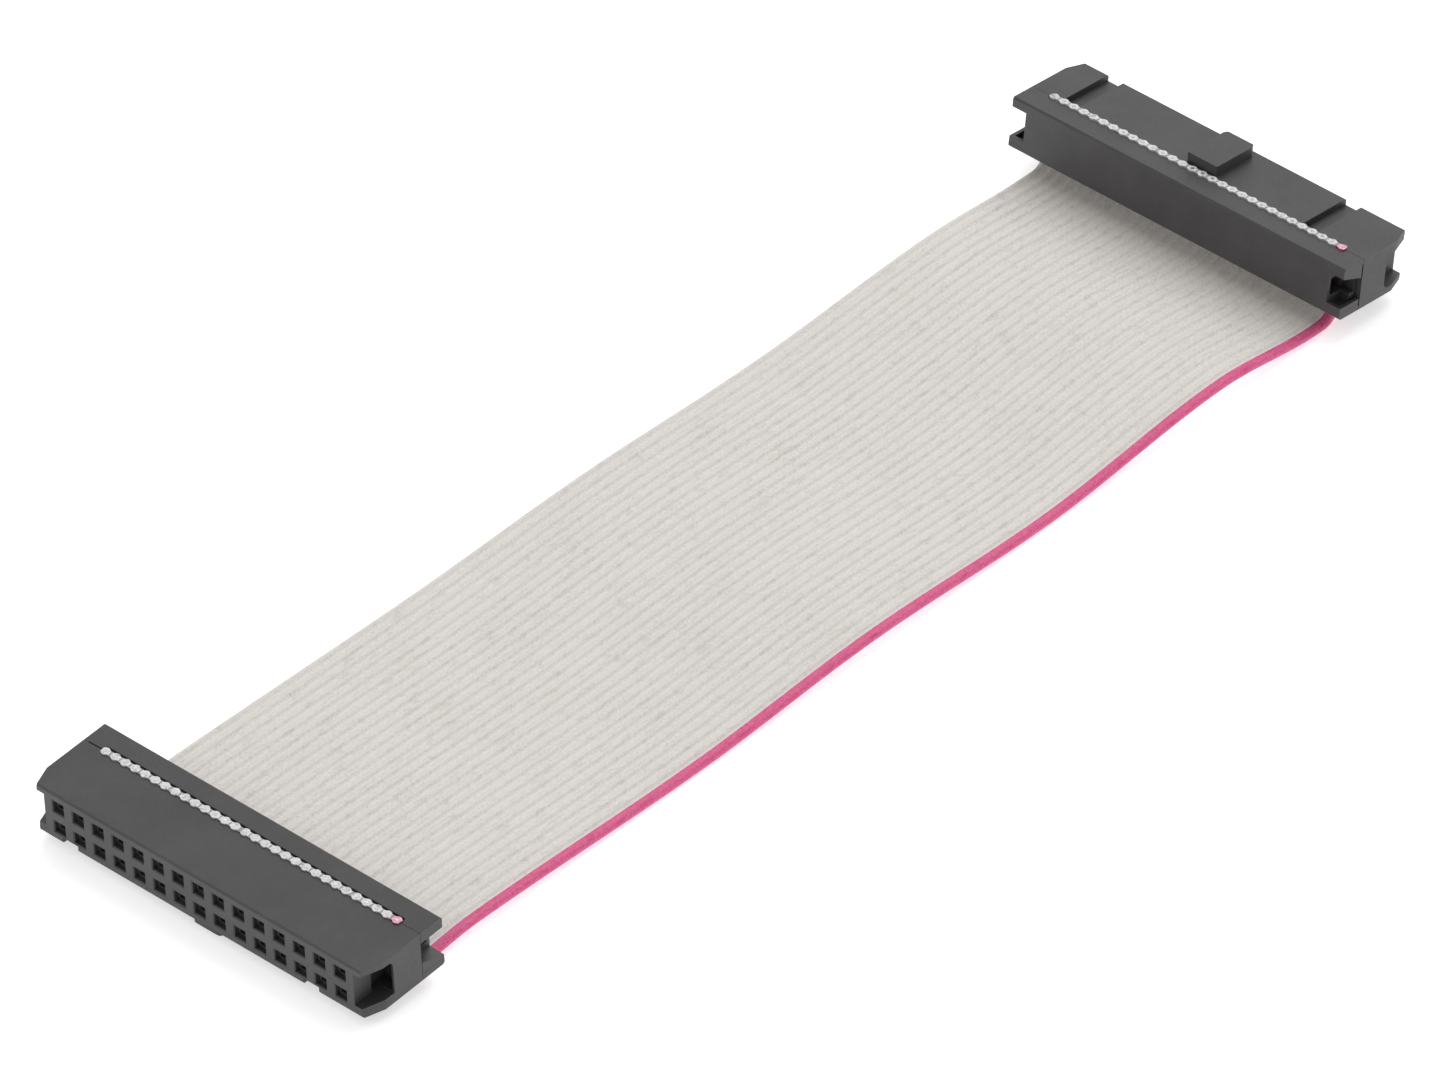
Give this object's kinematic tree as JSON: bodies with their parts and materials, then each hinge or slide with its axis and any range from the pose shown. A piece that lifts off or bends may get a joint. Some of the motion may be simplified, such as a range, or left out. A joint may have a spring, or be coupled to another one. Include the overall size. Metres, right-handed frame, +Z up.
{
  "type": "ribbon cable",
  "caption": "Short grey flat ribbon cable with a pink edge wire and a black two-row socket connector clamped on each end.",
  "frame": {"origin": "on the surface that the cable lies on, under the middle of its bounding box", "axes": "+X along the ribbon from the connector that lies key down to the one that lies key up, +Y across the ribbon away from its marked edge wire, +Z up"},
  "size_m": [0.1508, 0.0424, 0.0096],
  "materials": {
    "connector_black": "moulded, fine matt grain",
    "ribbon_grey": "extruded soft vinyl, matt",
    "ribbon_marker": "extruded soft vinyl, matt",
    "contact_metal": "stamped, satin",
    "conductor_metal": "tinned strands"
  },
  "bodies": {
    "root": {"near_body": "connector_black", "near_cover": "connector_black", "far_body": "connector_black", "far_cover": "connector_black", "ribbon_jacket": "ribbon_grey", "marker_jacket": "ribbon_marker", "near_contacts_odd": "contact_metal", "near_contacts_even": "contact_metal", "far_contacts_odd": "contact_metal", "far_contacts_even": "contact_metal", "conductor_01": "conductor_metal", "conductor_02": "conductor_metal", "conductor_03": "conductor_metal", "conductor_04": "conductor_metal", "conductor_05": "conductor_metal", "conductor_06": "conductor_metal", "conductor_07": "conductor_metal", "conductor_08": "conductor_metal", "conductor_09": "conductor_metal", "conductor_10": "conductor_metal", "conductor_11": "conductor_metal", "conductor_12": "conductor_metal", "conductor_13": "conductor_metal", "conductor_14": "conductor_metal", "conductor_15": "conductor_metal", "conductor_16": "conductor_metal", "conductor_17": "conductor_metal", "conductor_18": "conductor_metal", "conductor_19": "conductor_metal", "conductor_20": "conductor_metal", "conductor_21": "conductor_metal", "conductor_22": "conductor_metal", "conductor_23": "conductor_metal", "conductor_24": "conductor_metal", "conductor_25": "conductor_metal", "conductor_26": "conductor_metal", "conductor_27": "conductor_metal", "conductor_28": "conductor_metal", "conductor_29": "conductor_metal", "conductor_30": "conductor_metal"}
  },
  "joints": []
}
